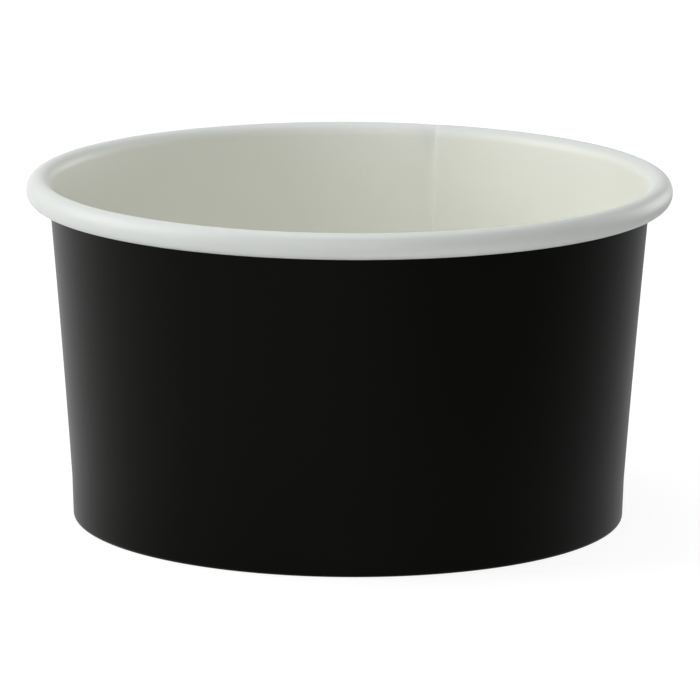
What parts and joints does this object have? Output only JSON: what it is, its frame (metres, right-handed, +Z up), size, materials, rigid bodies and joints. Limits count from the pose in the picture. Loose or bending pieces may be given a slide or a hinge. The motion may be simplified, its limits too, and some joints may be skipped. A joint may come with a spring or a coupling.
{
  "type": "paper dessert cup",
  "caption": "Round paper dessert cup: black printed side wall with a lapped seam, rolled white rim and folded hem that holds a flat base disc.",
  "frame": {"origin": "on the cup's axis, at the level of the table that it stands on", "axes": "+Z up along the cup's axis; +Y away from the picture's camera, so the side seam is at the back, about 17 degrees towards +X"},
  "size_m": [0.095, 0.095, 0.051],
  "materials": {
    "printed_board": "matte black print outside, smooth white coated board inside and on the rim",
    "white_board": "smooth coated white board"
  },
  "bodies": {
    "root": {"side_wall": "printed_board", "base_disc": "white_board"}
  },
  "joints": []
}
